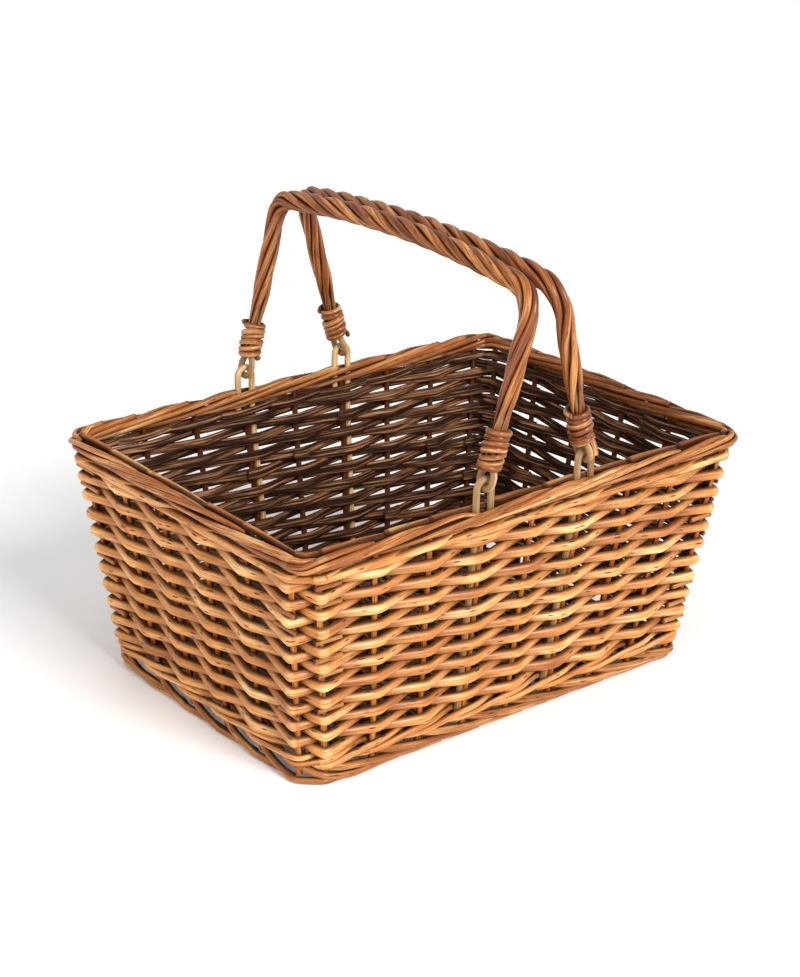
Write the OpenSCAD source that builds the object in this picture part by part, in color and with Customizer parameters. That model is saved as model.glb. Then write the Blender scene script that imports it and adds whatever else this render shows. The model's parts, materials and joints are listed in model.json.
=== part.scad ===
// Woven willow market basket: a flared rectangular basket with two swing handles.
// Millimetres. Origin at the middle of the foot, +X along the long side, +Z up.

/* [Body] */
// Outer length of the basket at the foot
foot_len = 349.25; // [320:0.25:380]
// Outer width of the basket at the foot
foot_wid = 241.3; // [225:0.1:265]
// Outer length over the rim border
rim_len = 400; // [380:1:430]
// Outer width over the rim border
rim_wid = 288; // [275:1:300]
// Height from the foot to the top of the rim border
body_h = 180; // [176:1:192]
// How far the pairs of corner stakes stand in from the corner
corner_cut = 12; // [10:0.5:14]

/* [Weave] */
// Spaces between stakes along a long wall
long_gaps = 8; // [8:2:8]
// Spaces between stakes along a short wall
short_gaps = 5; // [5:2:5]
// Rows of split willow between the two wales
weaver_rows = 20; // [20:1:20]
// Radius of a stake
stake_r = 2.5; // [2.2:0.1:2.6]
// Thickness of a split willow weaver
weaver_t = 3.6; // [3:0.1:3.8]
// Thickness of a round waling rod, seen from above
wale_t = 2.6; // [2:0.1:2.8]
// Height of a round waling rod
wale_h = 3.2; // [2.8:0.1:3.4]
// Waling rods below the weave
lower_wale_rods = 3; // [1:1:3]
// Waling rods above the weave
upper_wale_rods = 2; // [1:1:2]

/* [Borders and base] */
// Radius of each of the four strands rolled into the rim border
border_r = 3.7; // [3.4:0.1:3.9]
// Height of the foot rail
rail_h = 5.4; // [5:0.1:6]
// Width of the foot rail
rail_w = 8; // [7:0.5:9]
// Sticks along the base
base_stick_count = 6; // [4:1:7]
// Radius of a base stick
base_stick_r = 3; // [2.5:0.1:3.2]
// Weavers across the base
base_weaver_count = 46; // [40:2:46]

/* [Handles] */
// Radius of the cane in the loops and the eyes
cane_r = 2.4; // [2:0.1:2.5]
// Radius of the cane core that the strands are twisted round
core_r = 2; // [1.8:0.1:2.2]
// Bend radius of a loop and of an eye, along the middle of the cane
link_r = 6.2; // [6:0.1:6.5]
// Height of the hinge axis above the rim
hinge_rise = 9; // [9:0.1:18]
// Height of the bar above the hinge axis, along the handle
handle_h = 142; // [125:0.5:150]
// Radius of the two upper corners of a handle
corner_r = 22; // [18:1:32]
// How far each leg leans inwards along the basket's width; below 0 it leans outwards
leg_tilt = -1.5; // [-3:0.5:4]
// How steeply the arched bar leaves each corner
bar_rise = 7.5; // [4:0.5:9]
// Radius of a handle strand
strand_r = 2.7; // [2.4:0.1:2.8]
// Length of one full turn of the strands
twist_pitch = 105; // [90:1:140]
// Distance from the hinge axis to the binding
binding_start = 13; // [12.5:0.5:16]
// Length of a binding
binding_len = 26; // [24:0.5:32]
// Turns of thin willow in a binding
binding_turns = 6; // [5:1:8]

/* [Hidden] */
row_names = [for (i = [1:weaver_rows]) str("weaver_row_", i < 10 ? "0" : "", i)];
ends = ["front", "back"];
sides = ["left", "right"];
strand_count = 5;
stake_walls = ["front_stakes", "right_stakes", "back_stakes", "left_stakes"];

willow = "#C98A4B";
dark_willow = "#A5682F";
cane = "#D2AE7A";
tiny = 0.3;                                  // space left between neighbouring rods
round_fn = 32;

// Weave levels, from the foot up
wale_pitch = wale_h + tiny;
wale_bottom = 13.4;
border_bottom = body_h - 4 * border_r + 0.4;
weave_bottom = wale_bottom + lower_wale_rods * wale_pitch;
weave_top = border_bottom - upper_wale_rods * wale_pitch;
row_pitch = (weave_top - weave_bottom) / weaver_rows;
row_h = row_pitch - tiny;

// How far the middle of a rod passes from the middle of a stake
weaver_off = stake_r + weaver_t / 2 + 0.55;
wale_off = stake_r + wale_t / 2 + 0.35;
wall_half = weaver_off + weaver_t / 2;

// Half sizes of the stake line at the foot and at the rim
line_foot = [foot_len / 2 - wall_half, foot_wid / 2 - wall_half];
line_rim = [rim_len / 2 - 2 * border_r, rim_wid / 2 - 2 * border_r];
function line_half(z) = line_foot + (line_rim - line_foot) * z / body_h;

// The stakes in order round the basket, anticlockwise from the front left corner
stake_total = 2 * (long_gaps + short_gaps + 2);
first_of_wall = [0, long_gaps + 1, long_gaps + short_gaps + 2, 2 * long_gaps + short_gaps + 3];
wall_gaps = [long_gaps, short_gaps, long_gaps, short_gaps];
function wall_of(k) = k < first_of_wall[1] ? 0 : k < first_of_wall[2] ? 1 : k < first_of_wall[3] ? 2 : 3;
function place_in_wall(k) = k - first_of_wall[wall_of(k)];
function is_corner(k) = place_in_wall(k) == 0 || place_in_wall(k) == wall_gaps[wall_of(k)];

// Position of stake k on its line at height z
function stake_at(k, z) =
    let (w = wall_of(k), h = line_half(z), run = h - [corner_cut, corner_cut],
         t = 2 * place_in_wall(k) / wall_gaps[w] - 1)
    w == 0 ? [run[0] * t, -h[1]] : w == 1 ? [h[0], run[1] * t] :
    w == 2 ? [-run[0] * t, h[1]] : [-h[0], -run[1] * t];

// Outward direction at stake k: square to its wall, turned a little at the corners
function stake_out_angle(k) =
    let (w = wall_of(k), p = place_in_wall(k))
    w * 90 - 90 + (p == 0 ? -22.5 : p == wall_gaps[w] ? 22.5 : 0);
function stake_out(k) = [cos(stake_out_angle(k)), sin(stake_out_angle(k))];

function wrap(k) = (k + stake_total) % stake_total;
function clamp(v) = min(1, max(-1, v));
function unit(v) = v / norm(v);

// Along one space a rod goes smoothly from offset a to offset b
function rod_offset(a, b, s) = (a + b) / 2 + (a - b) / 2 * clamp(1.5 * cos(180 * s));
weave_steps = [0, 0.22, 0.36, 0.5, 0.64, 0.78];

// Outline of a rod that passes stake k at the offset that offs[k] gives
function rod_side(z, offs, shift) = [
    for (k = [0:stake_total - 1]) for (s = weave_steps)
        let (a = stake_at(k, z), b = stake_at(wrap(k + 1), z),
             out = unit(stake_out(k) * (1 - s) + stake_out(wrap(k + 1)) * s))
        a + (b - a) * s + out * (rod_offset(offs[k], offs[wrap(k + 1)], s) + shift)];

module woven_rod(z, height, thickness, offs) {
    translate([0, 0, z]) linear_extrude(height) difference() {
        polygon(rod_side(z + height / 2, offs, thickness / 2));
        polygon(rod_side(z + height / 2, offs, -thickness / 2));
    }
}

// Plain weave: outside one stake, inside the next, the other way in the next row
module weaver_row(i) {
    offs = [for (k = [0:stake_total - 1]) (k + i) % 2 == 0 ? weaver_off : -weaver_off];
    color(i % 3 == 0 ? dark_willow : willow)
        woven_rod(weave_bottom + i * row_pitch, row_h, weaver_t, offs);
}

// Waling: each rod goes outside two stakes and inside the third
module wale(z, rods) {
    color(dark_willow) for (i = [0:rods - 1])
        woven_rod(z + i * wale_pitch, wale_h, wale_t,
                  [for (k = [0:stake_total - 1]) (k + i) % 3 == 0 ? -wale_off : wale_off]);
}

// A rod of radius r from point a to point b
module rod(a, b, r) {
    d = b - a;
    translate(a) rotate([0, acos(d[2] / norm(d)), atan2(d[1], d[0])])
        cylinder(r = r, h = norm(d), $fn = round_fn);
}

module stake(k) {
    low = rail_h + 0.6;
    high = border_bottom - 0.6;
    rod(concat(stake_at(k, low), low), concat(stake_at(k, high), high), stake_r);
}

module wall_stakes(w) {
    color(dark_willow) for (p = [1:wall_gaps[w] - 1]) stake(first_of_wall[w] + p);
}

module corner_stakes() {
    color(dark_willow) for (k = [0:stake_total - 1]) if (is_corner(k)) stake(k);
}

// Carries a flat profile round a rectangle with rounded corners of radius r
module round_ring(half, r) {
    run = half - [r, r];
    for (q = [0:3]) {
        along = q % 2 == 0 ? run[0] : run[1];
        away = q % 2 == 0 ? half[1] : half[0];
        rotate([0, 0, q * 90]) {
            translate([-along, -away, 0]) rotate([90, 0, 90]) linear_extrude(2 * along)
                mirror([1, 0]) children();
            translate([along, r - away, 0]) rotate([0, 0, -90]) rotate_extrude(angle = 90, $fn = 96)
                translate([r, 0]) children();
        }
    }
}

// Flat below, where the basket stands, and bevelled above
module foot_rail() {
    color(dark_willow) round_ring(line_half(rail_h / 2), corner_cut + 2)
        polygon([[-rail_w / 2, 0], [rail_w / 2, 0], [rail_w / 2, rail_h / 2],
                 [rail_w / 4, rail_h], [-rail_w / 4, rail_h], [-rail_w / 2, rail_h / 2]]);
}

// One short slanted strand from inside each stake to outside the next. There is none round
// the corners, where the two stakes are too close together for it to pass.
module foot_strands() {
    r = 1.6;
    away = stake_r + r + 1;
    high = wale_bottom - r - 0.5;
    low = rail_h + r + 0.3;
    color(willow) for (k = [0:stake_total - 1]) {
        n = wrap(k + 1);
        if (!is_corner(k) || !is_corner(n))
            rod(concat(stake_at(k, high) - stake_out(k) * away, high),
                concat(stake_at(n, low) + stake_out(n) * away, low), r);
    }
}

// Four strands side by side, notched for each leg of the cane loops
module rim_border() {
    middle = border_bottom + 2 * border_r - 0.2;
    color(dark_willow) for (x = [-border_r, border_r]) for (z = [-border_r, border_r])
        difference() {
            translate([0, 0, middle + z]) round_ring(line_rim + [x, x], corner_cut + 4 + x)
                circle(r = border_r - 0.1, $fn = round_fn);
            for (s = [-1, 1]) for (e = [-1, 1]) for (leg = [-1, 1])
                translate([s * hinge_x + leg * link_r, e * hinge_y, border_bottom - 5])
                    cylinder(r = knee_r + 0.1, h = 30, $fn = round_fn);
        }
}

// Base: sticks along the length, weavers across them
base_z = wale_bottom;
base_half = line_half(base_z) - [wall_half + tiny, wall_half + tiny];
base_weaver_t = 2.6;
base_off = base_stick_r + base_weaver_t / 2 + 0.1;
base_stick_pitch = 2 * (base_half[1] - 8) / (base_stick_count - 1);
base_weaver_pitch = 2 * (base_half[0] - 8) / base_weaver_count;

module base_sticks() {
    color(dark_willow) for (i = [0:base_stick_count - 1]) {
        y = -base_half[1] + 8 + i * base_stick_pitch;
        rod([-base_half[0], y, base_z], [base_half[0], y, base_z], base_stick_r);
    }
}

// Height of a base weaver above or below the sticks, across the width
function base_wave(i, s) = rod_offset(i % 2 == 0 ? base_off : -base_off,
                                      i % 2 == 0 ? -base_off : base_off, s);
module base_weaver(flip) {
    gaps = [for (i = [0:base_stick_count - 2]) for (s = weave_steps)
        [-base_half[1] + 8 + (i + s) * base_stick_pitch, flip * base_wave(i, s)]];
    tail = flip * (base_stick_count % 2 == 0 ? -base_off : base_off);
    line = concat([[-base_half[1], flip * base_off]], gaps,
                  [[base_half[1] - 8, tail], [base_half[1], tail]]);
    n = len(line);
    rotate([90, 0, 90]) linear_extrude(base_weaver_pitch - tiny)
        polygon(concat([for (p = line) p + [0, base_weaver_t / 2]],
                       [for (i = [1:n]) line[n - i] - [0, base_weaver_t / 2]]));
}

module base_weave() {
    color(willow) for (i = [0:base_weaver_count - 1])
        translate([-base_half[0] + 8 + i * base_weaver_pitch, 0, base_z])
            base_weaver(i % 2 == 0 ? 1 : -1);
}

// Hinges. Each leg of a handle ends in a cane eye that is linked through a cane loop.
knee_z = border_bottom;
knee_r = cane_r + 0.15;                      // the cane is a little thicker where it is kinked
loop_stake = long_gaps / 2 - 1;
hinge_x = -stake_at(loop_stake, knee_z)[0];
hinge_y = -stake_at(loop_stake, knee_z)[1];
hinge_z = body_h + hinge_rise;
loop_foot_z = wale_bottom - 2;
short_tail_z = weave_top - 2 * row_pitch;

// A loop stands in the rim astride a stake. One leg ends in the wale and the other runs down
// to the foot beside the stake: on its left, seen from outside. side and end are -1 or 1.
module cane_loop(side, end) {
    foot_k = end < 0 ? (side < 0 ? loop_stake : loop_stake + 2)
                     : first_of_wall[2] + (side < 0 ? loop_stake + 2 : loop_stake);
    color(cane) {
        translate([side * hinge_x, end * hinge_y, hinge_z]) rotate([90, 0, 0])
            rotate_extrude(angle = 180, $fn = 64) translate([link_r, 0]) circle(r = cane_r, $fn = round_fn);
        for (leg = [-1, 1]) {
            tail_z = leg == end ? loop_foot_z : short_tail_z;
            knee = [side * hinge_x + leg * link_r, end * hinge_y, knee_z];
            foot = concat(stake_at(foot_k, tail_z) + [leg * link_r, 0], tail_z);
            translate(knee) cylinder(r = cane_r, h = hinge_z - knee_z, $fn = round_fn);
            translate(knee) sphere(r = knee_r, $fn = round_fn);
            rod(foot, knee, cane_r);
        }
    }
}

// Places a handle: leaning in over the basket until it all but meets the other one
rope_r = 2 * strand_r + core_r + 0.3;
lean = asin((hinge_x - rope_r - 0.35) / handle_h);
module place_handle(side) {
    rotate([0, 0, side < 0 ? 0 : 180])
        translate([-hinge_x, 0, hinge_z]) rotate([0, lean, 0]) children();
}

// Middle line of a handle in its own plane, as straight leg, corner arc and arched bar.
// It is measured from one hinge; turns are in degrees and lengths in millimetres.
leg_dir = 90 - leg_tilt;
corner_turn = leg_dir - bar_rise;
leg_unit = [cos(leg_dir), sin(leg_dir)];
corner_move = corner_r * [sin(leg_dir) - sin(bar_rise), cos(bar_rise) - cos(leg_dir)];
bar_slope = (1 - cos(bar_rise)) / sin(bar_rise);
leg_len = (handle_h - corner_move[1] - bar_slope * (hinge_y - corner_move[0]))
          / (leg_unit[1] - bar_slope * leg_unit[0]);
bar_start = [-hinge_y, 0] + leg_unit * leg_len + corner_move;
bar_r = -bar_start[0] / sin(bar_rise);
corner_len = corner_r * corner_turn * PI / 180;
half_path = leg_len + corner_len + bar_r * bar_rise * PI / 180;

// [y, z, direction] at distance s from the hinge, for the first half of the path
function half_point(s) =
    s < leg_len ? [-hinge_y + leg_unit[0] * s, leg_unit[1] * s, leg_dir] :
    s < leg_len + corner_len ?
        let (h = leg_dir - (s - leg_len) / corner_r * 180 / PI)
        [-hinge_y + leg_unit[0] * leg_len + corner_r * (sin(leg_dir) - sin(h)),
         leg_unit[1] * leg_len + corner_r * (cos(h) - cos(leg_dir)), h] :
        let (h = bar_rise - (s - leg_len - corner_len) / bar_r * 180 / PI)
        [bar_start[0] + bar_r * (sin(bar_rise) - sin(h)),
         bar_start[1] + bar_r * (cos(h) - cos(bar_rise)), h];
function path_point(s) =
    s <= half_path ? half_point(s)
                   : let (p = half_point(2 * half_path - s)) [-p[0], p[1], -p[2]];

// The strands thin out where they go into a binding
socket_z = binding_start + 8;
binding_end = binding_start + binding_len;
function fullness(s) =
    let (d = min(s, 2 * half_path - s), t = clamp(max(0, (d - binding_end - 1) / 26)))
    t * t * (3 - 2 * t);

// A rod along the handle, off its middle line by away and turned by start degrees
sweep_sides = 6;
sweep_rings = 46;
module swept_rod(r_full, r_tip, away_full, away_tip, start) {
    s0 = socket_z + 0.2;
    s_step = 2 * (half_path - s0) / (sweep_rings - 1);
    points = [for (i = [0:sweep_rings - 1])
        let (s = s0 + i * s_step, p = path_point(s), f = fullness(s),
             r = r_tip + (r_full - r_tip) * f, away = away_tip + (away_full - away_tip) * f,
             turn = start + 360 * s / twist_pitch,
             side_dir = [0, -sin(p[2]), cos(p[2])])
        for (j = [0:sweep_sides - 1])
            let (a = 360 * j / sweep_sides)
            [0, p[0], p[1]] + side_dir * (away * cos(turn) + r * cos(a))
                            + [1, 0, 0] * (away * sin(turn) + r * sin(a))];
    last = (sweep_rings - 1) * sweep_sides;
    faces = concat(
        [[for (j = [0:sweep_sides - 1]) j]],
        [for (i = [0:sweep_rings - 2]) for (j = [0:sweep_sides - 1])
            let (a = i * sweep_sides, k = (j + 1) % sweep_sides)
            [a + j, a + sweep_sides + j, a + sweep_sides + k, a + k]],
        [[for (j = [sweep_sides - 1:-1:0]) last + j]]);
    polyhedron(points, faces, convexity = 6);
}

module handle_core(side) {
    color(cane) place_handle(side) swept_rod(core_r, core_r, 0, 0, 0);
}

module handle_strand(side, i) {
    color(i % 2 == 0 ? willow : dark_willow) place_handle(side)
        swept_rod(strand_r, strand_r / 2, rope_r - strand_r, core_r + strand_r / 2 + 0.4,
                  360 / strand_count * i);
}

// Places what belongs to one leg of a handle, along that leg
module place_leg(side, end) {
    place_handle(side) rotate([0, 0, end * side > 0 ? 0 : 180])
        translate([0, -hinge_y, 0]) rotate([-leg_tilt, 0, 0]) children();
}

// Thin willow wound round the ends of the strands, on the two tails of the eye
module binding(side, end) {
    bore_r = cane_r + strand_r + 0.6;
    turn_h = binding_len / binding_turns;
    bump = [[0, 0], [0.85, 0.18], [1.2, 0.5], [0.85, 0.82]];
    wall_r = bore_r + 2.9;
    outside = [for (i = [0:binding_turns - 1]) for (b = bump)
        [wall_r + b[0], binding_start + (i + b[1]) * turn_h]];
    color(dark_willow) place_leg(side, end) difference() {
        rotate_extrude($fn = 64) polygon(concat([[0, binding_start]], outside,
            [[wall_r, binding_end], [bore_r, binding_end], [bore_r, socket_z], [0, socket_z]]));
        for (leg = [-1, 1]) translate([0, leg * link_r, binding_start - 1])
            cylinder(r = cane_r + 0.05, h = 20, $fn = round_fn);
    }
}

// Cane bent into an eye, linked through the loop in the rim
module eye(side, end) {
    color(cane) place_leg(side, end) {
        translate([0, 0, link_r]) rotate([90, 0, 90]) rotate([0, 0, 180])
            rotate_extrude(angle = 180, $fn = 64) translate([link_r, 0]) circle(r = cane_r, $fn = round_fn);
        for (leg = [-1, 1]) translate([0, leg * link_r, link_r])
            cylinder(r = cane_r, h = socket_z - 0.1 - link_r, $fn = round_fn);
    }
}

base_sticks();
base_weave();
foot_rail();
foot_strands();
wale(wale_bottom, lower_wale_rods);  // lower_wale
for (i = [0:weaver_rows - 1])
    weaver_row(i);
wale(weave_top, upper_wale_rods);  // upper_wale
rim_border();
for (w = [0:3])
    wall_stakes(w);
corner_stakes();
for (s = [0:1]) {
    side = 2 * s - 1;
    for (e = [0:1]) {
        end = 2 * e - 1;
        cane_loop(side, end);
        binding(side, end);
        eye(side, end);
    }
    handle_core(side);
    for (i = [1:strand_count])
        handle_strand(side, i);
}
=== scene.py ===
"""Woven willow market basket: rods, wales, borders, twisted handles and cane links.

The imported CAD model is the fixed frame. Every visible rod is swept here along the same
wall plan and stands for the CAD node that holds its place. Lengths are in metres.
"""

import json
import logging
import math
from dataclasses import dataclass, field
from enum import Enum

import bpy
import numpy as np
from mathutils import Matrix, Vector

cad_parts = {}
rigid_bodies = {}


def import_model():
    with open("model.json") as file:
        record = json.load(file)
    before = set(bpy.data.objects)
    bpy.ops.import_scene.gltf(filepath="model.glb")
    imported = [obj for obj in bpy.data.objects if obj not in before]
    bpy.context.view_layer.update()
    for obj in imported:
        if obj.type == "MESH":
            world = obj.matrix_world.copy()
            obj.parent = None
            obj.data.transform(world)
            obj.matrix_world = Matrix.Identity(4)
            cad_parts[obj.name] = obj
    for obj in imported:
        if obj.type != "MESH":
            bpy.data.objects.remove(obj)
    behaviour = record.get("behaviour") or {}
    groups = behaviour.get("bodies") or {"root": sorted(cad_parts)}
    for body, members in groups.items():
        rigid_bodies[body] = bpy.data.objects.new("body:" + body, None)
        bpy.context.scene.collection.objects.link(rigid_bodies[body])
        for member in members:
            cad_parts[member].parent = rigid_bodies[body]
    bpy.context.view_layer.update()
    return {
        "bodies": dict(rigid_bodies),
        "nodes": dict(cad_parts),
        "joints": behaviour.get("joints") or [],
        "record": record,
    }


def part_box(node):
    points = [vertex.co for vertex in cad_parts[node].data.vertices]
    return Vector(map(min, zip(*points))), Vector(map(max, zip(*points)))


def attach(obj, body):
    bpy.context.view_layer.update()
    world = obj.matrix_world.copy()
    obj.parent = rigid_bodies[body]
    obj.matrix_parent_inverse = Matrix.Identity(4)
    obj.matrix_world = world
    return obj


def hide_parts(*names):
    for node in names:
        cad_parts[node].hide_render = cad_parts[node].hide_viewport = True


Array = np.ndarray
Line = tuple[np.ndarray, np.ndarray]  # points, and a direction or heading at each
Rng = np.random.Generator

MM = 0.001
BASKET = "basket"
LOG = logging.getLogger("basket")
CANE_R = 2.4 * MM  # the cane of the loops and the eyes
LINK_R = 6.2 * MM  # bend of a loop or an eye, to the middle of its cane
CREASE = 50.0  # edges sharper than this many degrees stay crisp
BARK_POINTS = 9  # points of a split rod's outline that lie on its bark
FLAT_FACE = [[-0.46, 0.43], [-0.5, 0.3], [-0.45, 0.12], [-0.5, -0.05], [-0.45, -0.22], [-0.44, -0.42]]
FLAT_EDGE = [0.8, 0.3, 0, 0, 0.3, 0.8]
CUT_CREST = -0.8  # crest value that darkens the last ring at a cut end
UNEVEN = 0.035  # how far a split face swings in and out, as a share of the rod's depth


# ---------------------------------------------------------------- shader helpers


class Link:
    """A socket of a node tree that can be used in arithmetic."""

    def __init__(self, graph: "Graph", socket: bpy.types.NodeSocket) -> None:
        """Wraps an output socket.

        Args:
            graph: The graph that the socket belongs to.
            socket: The output socket.
        """
        self.graph = graph
        self.socket = socket

    def math(self, operation: str, *others: "Link | float") -> "Link":
        """Adds a Math node that starts with this value.

        Args:
            operation: The Math node's operation.
            others: The values or links of its further inputs.

        Returns:
            The node's result.
        """
        return self.graph.node("ShaderNodeMath", {"operation": operation}, dict(enumerate((self, *others))))

    def __add__(self, other: "Link | float") -> "Link":
        """self + other."""
        return self.math("ADD", other)

    def __mul__(self, other: "Link | float") -> "Link":
        """self * other."""
        return self.math("MULTIPLY", other)

    def __sub__(self, other: "Link | float") -> "Link":
        """self - other."""
        return self.math("SUBTRACT", other)

    def __rsub__(self, other: float) -> "Link":
        """other - self."""
        return self.graph.node("ShaderNodeMath", {"operation": "SUBTRACT"}, {0: other, 1: self})

    __radd__ = __add__
    __rmul__ = __mul__

    def clamp(self, low: float, high: float) -> "Link":
        """Maps low..high to 0..1 and keeps the result in that span."""
        return self.graph.node(
            "ShaderNodeMapRange",
            {"interpolation_type": "SMOOTHSTEP"},
            {"Value": self, "From Min": low, "From Max": high},
        )


class Graph:
    """The node tree of one material, built in code."""

    def __init__(self, name: str) -> None:
        """Makes an empty material with its output node.

        Args:
            name: The material's name.
        """
        self.material = bpy.data.materials.new(name)
        self.material.use_nodes = True
        self.tree = self.material.node_tree
        self.tree.nodes.clear()

    def node(self, kind: str, settings: dict, inputs: dict, output: int | str = 0) -> Link:
        """Adds a node.

        Args:
            kind: The node's type.
            settings: Its own properties; "stops" sets a colour ramp's stops.
            inputs: Values or links by the name or number of the input.
            output: The name or number of the output that is returned.

        Returns:
            The chosen output.
        """
        made = self.tree.nodes.new(kind)
        for key, value in settings.items():
            if key == "stops":
                self._set_stops(made.color_ramp, value)
            else:
                setattr(made, key, value)
        for key, value in inputs.items():
            if isinstance(value, Link):
                self.tree.links.new(value.socket, made.inputs[key])
            else:
                made.inputs[key].default_value = value
        return Link(self, made.outputs[output]) if len(made.outputs) else None

    @staticmethod
    def _set_stops(ramp: bpy.types.ColorRamp, stops: list) -> None:
        """Sets a ramp's stops from pairs of position and colour."""
        while len(ramp.elements) < len(stops):
            ramp.elements.new(1.0)
        for element, (place, colour) in zip(ramp.elements, stops):
            element.position = place
            element.color = (*colour, 1.0)

    def attribute(self, name: str) -> Link:
        """The value that each point of the piece holds under this name."""
        return self.node("ShaderNodeAttribute", {"attribute_name": name}, {}, "Fac")

    def mix(self, factor: "Link | float", a: "Link | tuple", b: "Link | tuple", blend: str = "MIX") -> Link:
        """Mixes two colours.

        Args:
            factor: How much of the second colour shows.
            a: The first colour, as a link or as red, green and blue.
            b: The second colour.
            blend: The blend mode.

        Returns:
            The mixed colour.
        """
        colours = [c if isinstance(c, Link) else (*c, 1.0) for c in (a, b)]
        settings = {"data_type": "RGBA", "blend_type": blend, "clamp_factor": True}
        return self.node("ShaderNodeMix", settings, {0: factor, 6: colours[0], 7: colours[1]}, 2)

    def along_rod(self, per_metre: float, around: float) -> Link:
        """Coordinates that run along and around a rod, different on every rod.

        Args:
            per_metre: Pattern cells in a metre of rod.
            around: Pattern cells round the rod.

        Returns:
            The coordinates as a vector.
        """
        place = self.node("ShaderNodeUVMap", {"uv_map": "rod"}, {})
        split = self.tree.nodes.new("ShaderNodeSeparateXYZ")
        self.tree.links.new(place.socket, split.inputs[0])
        length, turn = Link(self, split.outputs[0]), Link(self, split.outputs[1])
        rod = self.attribute("tone") * 61.0
        inputs = {0: length * per_metre, 1: turn * around, 2: rod}
        return self.node("ShaderNodeCombineXYZ", {}, inputs)

    def noise(self, vector: Link, scale: float = 1.0, detail: float = 2.0) -> Link:
        """Smooth noise from 0 to 1."""
        inputs = {"Vector": vector, "Scale": scale, "Detail": detail}
        return self.node("ShaderNodeTexNoise", {}, inputs, "Fac")

    def bump(self, height: Link, distance: float) -> Link:
        """A normal that follows a height pattern of this depth in metres."""
        inputs = {"Strength": 0.4, "Distance": distance, "Height": height}
        return self.node("ShaderNodeBump", {}, inputs)

    def finish(self, constants: dict, varying: dict) -> bpy.types.Material:
        """Adds the shader and the output.

        Args:
            constants: Values that are the same all over the surface.
            varying: Links for what changes over the surface.

        Returns:
            The material.
        """
        shader = self.node("ShaderNodeBsdfPrincipled", {}, {**constants, **varying})
        self.node("ShaderNodeOutputMaterial", {}, {"Surface": shader})
        return self.material


def linear(red: float, green: float, blue: float) -> tuple[float, float, float]:
    """Turns a display colour, 0 to 255, into a linear one."""
    return tuple(((c / 255 + 0.055) / 1.055) ** 2.4 for c in (red, green, blue))


# ---------------------------------------------------------------- finishes


@dataclass(frozen=True)
class Willow:
    """Stained and varnished willow: bark outside, darker fibrous pith on a split face, whose darkness is
    partly stain and partly painted shade of the basket's inside.
    """

    name: str
    dark: tuple = linear(140, 78, 34)
    middle: tuple = linear(204, 136, 70)
    light: tuple = linear(246, 200, 136)
    shade_and_cut_end: tuple = linear(116, 64, 38)
    # The pith colour is partly painted shade of the basket's inside.
    pith: tuple = linear(31, 14, 5)
    pith_light: tuple = linear(186, 130, 84)
    knot_and_shade: tuple = linear(44, 17, 4)
    roughness: float = 0.38
    coat: float = 0.32
    spread: float = 0.38
    shade_and_cut_end_share: float = 0.7
    crevice_shade_share: float = 0.92
    fibre_share: float = 0.7
    knot_share: float = 0.9

    def make(self) -> bpy.types.Material:
        """Builds the material.

        Returns:
            The finished material.
        """
        g = Graph(self.name)
        # Bark: its age sets the colour; then painted shade where the rod passes inside (the same mix darkens
        # cut ends), a painted highlight at corner bends, fibres, painted shade and grime along the rod's
        # edges, and knots.
        tone, crest, pith = g.attribute("tone"), g.attribute("crest"), g.attribute("pith")
        blotch = g.noise(g.along_rod(16, 1.5))
        streak = g.noise(g.along_rod(26, 11), detail=4.0)
        fibre = g.noise(g.along_rod(70, 30), detail=3.0)
        age = tone * 0.45 + blotch + streak * 0.9 - 0.67
        stops = [(0.5 - self.spread, self.dark), (0.5, self.middle), (0.5 + self.spread, self.light)]
        bark = g.node("ShaderNodeValToRGB", {"stops": stops}, {"Fac": age})
        # Painted shade where crest is low, where the rod passes inside a stake; a crest below 0 darkens a cut
        # end.
        bark = g.mix((1.0 - crest).clamp(0.0, 0.9) * self.shade_and_cut_end_share, bark, self.shade_and_cut_end)
        # Painted highlight where crest rises above 1, on bends round corner stakes.
        bark = g.mix(crest.clamp(1.0, 1.4) * 0.6, bark, self.light)
        bark = g.mix(fibre.clamp(0.52, 0.66) * self.fibre_share, bark, self.dark)
        # Painted shade along each rod's inner side and edges, where rods press together, with some real
        # grime, mottled by the blotch noise; it also dulls the coat there.
        crevice_shade_and_grime = g.attribute("edge").clamp(0.3, 0.85) * (0.7 + blotch * 0.4)
        bark = g.mix(crevice_shade_and_grime * self.crevice_shade_share, bark, self.knot_and_shade)
        cells = {"Vector": g.along_rod(70, 8), "Scale": 1.0}
        spot = g.node("ShaderNodeTexVoronoi", {"feature": "F1"}, cells, "Distance")
        chance = g.node("ShaderNodeTexVoronoi", {"feature": "F1"}, cells, "Color")
        knots = spot.clamp(0.26, 0.12) * chance.clamp(0.36, 0.44)
        bark = g.mix(knots * self.knot_share, bark, self.knot_and_shade)
        # Pith: dark, partly from stain and partly as painted shade of the basket's inside, with pale bands
        # and dark fibres.
        band = g.noise(g.along_rod(20, 12), detail=3.0)
        split = g.mix(band.clamp(0.45, 0.74), self.pith, self.pith_light)
        split = g.mix(fibre.clamp(0.54, 0.4) * self.fibre_share, split, self.knot_and_shade)
        colour = g.mix(pith.clamp(0.35, 0.75), bark, split)
        height = streak * 0.5 + fibre * (0.3 + pith * 0.9) - knots * 0.5
        varying = {
            "Base Color": colour,
            "Roughness": self.roughness + streak * 0.12 + pith * 0.25,
            "Coat Weight": self.coat * (1.0 - pith) * (1.0 - crevice_shade_and_grime),
            "Normal": g.bump(height, 0.5 * MM),
        }
        return g.finish({"Coat Roughness": 0.22, "Specular IOR Level": 0.16}, varying)


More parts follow.
